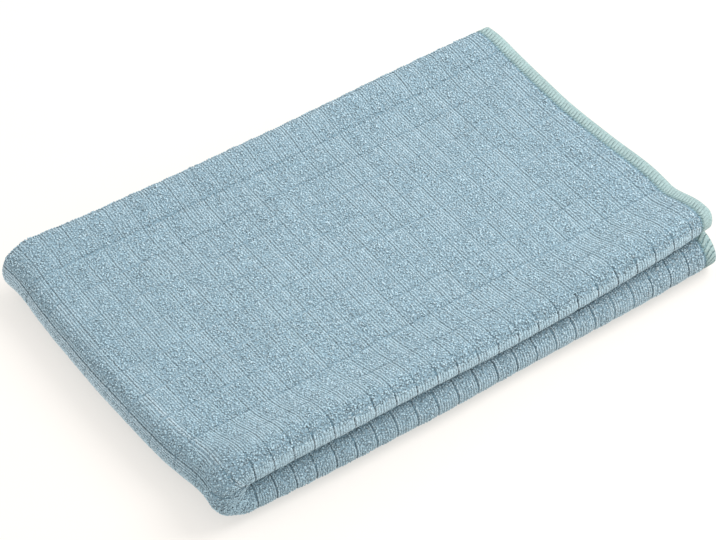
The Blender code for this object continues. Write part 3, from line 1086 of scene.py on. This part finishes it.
class ClothLooks(bpy.types.PropertyGroup):
    """Sizes and colours of the ground of the cloth and its loops."""

    groove_depth: length("Groove depth", "Depth of a long groove in the ground", 0.00008)
    fold_opening: number("Fold opening", "How much more a bend opens the grooves", 4.5)
    cross_depth: length("Cross groove depth", "Depth of a cross groove in the ground", 0.00020)
    hem_valley_depth: length("Hem valley", "Depth of the valley beside the overcast band", 0.00012)
    loops_missing: number(
        "Loops missing", "Share of the loops that lie flat where the pile is rough", 0.13,
        max=0.5, subtype="FACTOR",
    )
    cell_swell: length("Cell swell", "How far a cell swells above its long grooves", 0.00010)
    groove_opening: length(
        "Groove opening", "How far the loops beside a groove are pushed apart", 0.00004
    )
    crease_depth: length(
        "Crease", "Depth of the crease that runs on from the gap at the corner", 0.00050
    )
    roll_swell: length("Roll swell", "How far the bend of the upper half hangs over the gap", 0.00035)
    lump_height: length("Lump height", "Height of the soft lumps of the folded cloth", 0.00018)
    loop_width: length("Loop width", "Width of one loop of the pile", 0.00092, 0.0001)
    loop_length: length("Loop length", "Length of one loop of the pile", 0.00074, 0.0001)
    loop_height: length("Loop height", "Height of one loop over the ground", 0.00040, 0.0001)
    loop_sink: length("Loop sink", "How deep a loop's foot is set into the ground", 0.00006)
    colour: tint("Colour", "Colour of the loops", 0.346, 0.493, 0.561)
    # Loops are mixed towards this by their own random tone and by painted light
    pale_colour: tint("Pale loops", "Colour of the palest loops", 0.52, 0.64, 0.70)
    # The ground's own deeper colour, darker still as painted shade between the loops; the feet of the
    # loops take it too
    ground_and_shade_colour: tint("Ground", "Colour between the loops", 0.20, 0.295, 0.35)
    # Painted shade: the colour the ground takes at the bottom of the grooves, in the valley beside
    # the band and in the crease
    groove_shade_colour: tint("Grooves", "Colour at the bottom of the grooves", 0.13, 0.225, 0.28)
    hem_colour: tint("Hem", "Colour of the ground under the thread", 0.20, 0.31, 0.325)


class ThreadLooks(bpy.types.PropertyGroup):
    """Sizes and colours of the overcast thread."""

    stitch_pitch: length("Stitch pitch", "From one stitch to the next", 0.00140, 0.0005)
    thread_wide: length("Half width", "Half the width of the flattened thread", 0.00050, 0.00005)
    thread_high: length("Half height", "Half the height of the flattened thread", 0.00015, 0.00005)
    thread_sides: IntProperty(
        name="Sides", description="Sides of the tube", default=6, min=4, max=12,
    )
    steps_each_stitch: IntProperty(
        name="Steps", description="Points along one stitch", default=24, min=8, max=48,
    )
    stitch_slant: FloatProperty(
        name="Slant", description="How far a stitch runs along the hem on its way over the band",
        default=-0.0011, unit="LENGTH",
    )
    thread_colour: tint("Thread", "Colour of the thread that lies uppermost", 0.325, 0.445, 0.44)
    # Painted shade of the thread that lies under the uppermost one
    thread_shade: tint("Thread below", "Colour of the thread that lies under it", 0.265, 0.375, 0.375)
    # Painted shade of the thread where it dips into the cloth
    thread_foot_shade: tint(
        "Thread foot", "Colour of the thread where it dips into the cloth", 0.15, 0.245, 0.255
    )


class StudioLooks(bpy.types.PropertyGroup):
    """The floor, the light and the camera."""

    floor_colour: tint("Floor", "Colour of the floor", 0.38, 0.36, 0.34)
    floor_glow: number("Floor glow", "Light from the floor itself, which softens the shadows", 0.56)
    sky: number("Ambient light", "Strength of the even light", 0.98)
    key: number("Key light", "Power of the large lamp at the right", 7.0, unit="POWER")
    lens: number("Lens", "Focal length in millimetres, on a 36 mm sensor", 125.7, 10.0)
    azimuth: FloatProperty(
        name="Azimuth", description="Direction of the camera round the cloth",
        default=math.radians(-31.19), subtype="ANGLE",
    )
    elevation: FloatProperty(
        name="Elevation", description="Height of the camera as an angle",
        default=math.radians(45.64), subtype="ANGLE",
    )
    roll: FloatProperty(
        name="Roll", description="Tilt of the camera about its own axis",
        default=math.radians(-4.0), subtype="ANGLE",
    )
    distance: length("Distance", "From the camera to the point it looks at", 0.829, 0.1)
    target: FloatVectorProperty(
        name="Target", description="The point that the camera looks at", subtype="XYZ",
        default=(-0.00667, -0.00912, 0.0170), unit="LENGTH",
    )


# ---------------- operators

PILE_NAMES = ("pile_left", "pile_middle", "pile_right", "pile_lower", "pile_half_fold", "pile_under")
THREAD_NAMES = ("hem_thread_upper", "hem_thread_lower")


class AddSheet(bpy.types.Operator):
    """Build the folded sheet with its grid of grooves"""

    bl_idname = "folded_cloth.add_sheet"
    bl_label = "Sheet"

    def execute(self, context):
        sheet = make_sheet(context.scene.cloth_looks)
        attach(sheet, BODY)
        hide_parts(NODE)
        return {"FINISHED"}


class AddPile(bpy.types.Operator):
    """Stand the loops of the pile on the sheet"""

    bl_idname = "folded_cloth.add_pile"
    bl_label = "Pile"

    def execute(self, context):
        first = math.ceil((FRONT_ROW - FRONT_ARC) / ROW_PITCH)
        last = math.floor((BACK_ROW + BACK_ARC) / ROW_PITCH)
        rows = np.arange(first, last)
        at = rows * ROW_PITCH
        hidden = (at >= FRONT_ROW + FRONT_RIM) & (at <= BACK_ROW - BACK_RIM)
        end = CELLS_EACH_HALF
        pieces = (
            # cells, rows, seed, below, stretch
            (np.arange(-1, 8), rows, 41, False, 1.0),
            (np.arange(8, 17), rows, 45, False, 1.0),
            (np.arange(17, end), rows, 42, False, 1.0),
            (np.arange(0, end), rows[~hidden], 43, True, 1.0),
            (np.arange(0, 3), rows[hidden], 44, True, 1.0),
            (np.arange(3, end), rows[hidden][::2], 46, True, 2.0),
        )
        looks = context.scene.cloth_looks
        for name, (cells, places, seed, below, stretch) in zip(PILE_NAMES, pieces):
            pile = make_pile(name, cells, places, looks, seed, below, stretch)
            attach(pile, BODY)
        return {"FINISHED"}


class AddThread(bpy.types.Operator):
    """Sew the overcast thread round the two hems"""

    bl_idname = "folded_cloth.add_thread"
    bl_label = "Overcast thread"

    def execute(self, context):
        looks = context.scene.thread_looks
        for name, sign in zip(THREAD_NAMES, (1.0, -1.0)):
            thread = make_hem_thread(name, sign, looks)
            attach(thread, BODY)
        return {"FINISHED"}


def add_floor(looks):
    """A wide plain floor just under the loops of the lower side."""
    corners = [(x * FLOOR_REACH, y * FLOOR_REACH, FLOOR_LEVEL) for x, y in FLOOR_CORNERS]
    mesh = bpy.data.meshes.new("floor")
    mesh.from_pydata(corners, [], [(0, 1, 2, 3)])
    material, *_ = base_material("pale_floor", {
        "Base Color": looks.floor_colour, "Roughness": 0.9, "Specular IOR Level": 0.1,
        "Emission Color": FLOOR_GLOW, "Emission Strength": looks.floor_glow,
    })
    mesh.materials.append(material)
    return add_object("floor", mesh)


def add_light(looks):
    """Even light from all sides, and a large lamp that looks at the middle of the frame."""
    world = bpy.data.worlds.new("studio")
    world.use_nodes = True
    sky = {"Color": (1.0, 1.0, 1.0, 1.0), "Strength": looks.sky}
    feed(world.node_tree, world.node_tree.nodes["Background"], sky)
    bpy.context.scene.world = world
    lamp = bpy.data.lights.new("key", "AREA")
    lamp.shape = "DISK"
    lamp.size = LAMP_SIZE
    lamp.energy = looks.key
    key = add_object("key", lamp)
    key.location = LAMP_PLACE
    key.rotation_euler = key.location.to_track_quat("Z", "Y").to_euler()


def add_camera(looks):
    """The camera, at a distance from its target in the direction of two angles."""
    data = bpy.data.cameras.new("camera")
    data.lens = looks.lens
    data.sensor_width = 36.0
    data.clip_start = 0.01
    camera = add_object("camera", data)
    level = math.cos(looks.elevation)
    back = Vector((
        math.sin(looks.azimuth) * level,
        -math.cos(looks.azimuth) * level,
        math.sin(looks.elevation),
    ))
    place = Matrix.Translation(Vector(looks.target) + back * looks.distance)
    look = (-back).to_track_quat("-Z", "Y").to_matrix().to_4x4()
    camera.matrix_world = place @ look @ Matrix.Rotation(looks.roll, 4, "Z")
    bpy.context.scene.camera = camera


class AddStudio(bpy.types.Operator):
    """Set the pale floor, the soft light and the camera"""

    bl_idname = "folded_cloth.add_studio"
    bl_label = "Studio"

    def execute(self, context):
        looks = context.scene.studio_looks
        context.scene.view_settings.view_transform = "Standard"
        add_floor(looks)
        add_light(looks)
        add_camera(looks)
        return {"FINISHED"}


class FoldedClothPanel(bpy.types.Panel):
    """Builds the folded cloth, piece by piece"""

    bl_idname = "VIEW3D_PT_folded_cloth"
    bl_label = "Folded cloth"
    bl_space_type = "VIEW_3D"
    bl_region_type = "UI"
    bl_category = "Cloth"

    def draw(self, context):
        for operator in (AddSheet, AddPile, AddThread, AddStudio):
            self.layout.operator(operator.bl_idname)
        for group, _ in GROUPS:
            looks = getattr(context.scene, group)
            box = self.layout.box()
            for name in looks.bl_rna.properties.keys():
                if name not in ("rna_type", "name"):
                    box.prop(looks, name)


CLASSES = (
    ClothLooks, ThreadLooks, StudioLooks, AddSheet, AddPile, AddThread, AddStudio, FoldedClothPanel
)
GROUPS = (("cloth_looks", ClothLooks), ("thread_looks", ThreadLooks), ("studio_looks", StudioLooks))


def register():
    for one in CLASSES:
        bpy.utils.register_class(one)
    for name, group in GROUPS:
        setattr(bpy.types.Scene, name, PointerProperty(type=group))


def unregister():
    for name, _ in GROUPS:
        delattr(bpy.types.Scene, name)
    for one in reversed(CLASSES):
        bpy.utils.unregister_class(one)


def main():
    register()
    bpy.ops.folded_cloth.add_sheet()
    bpy.ops.folded_cloth.add_pile()
    bpy.ops.folded_cloth.add_thread()
    bpy.ops.folded_cloth.add_studio()


if __name__ == "__main__":
    main()
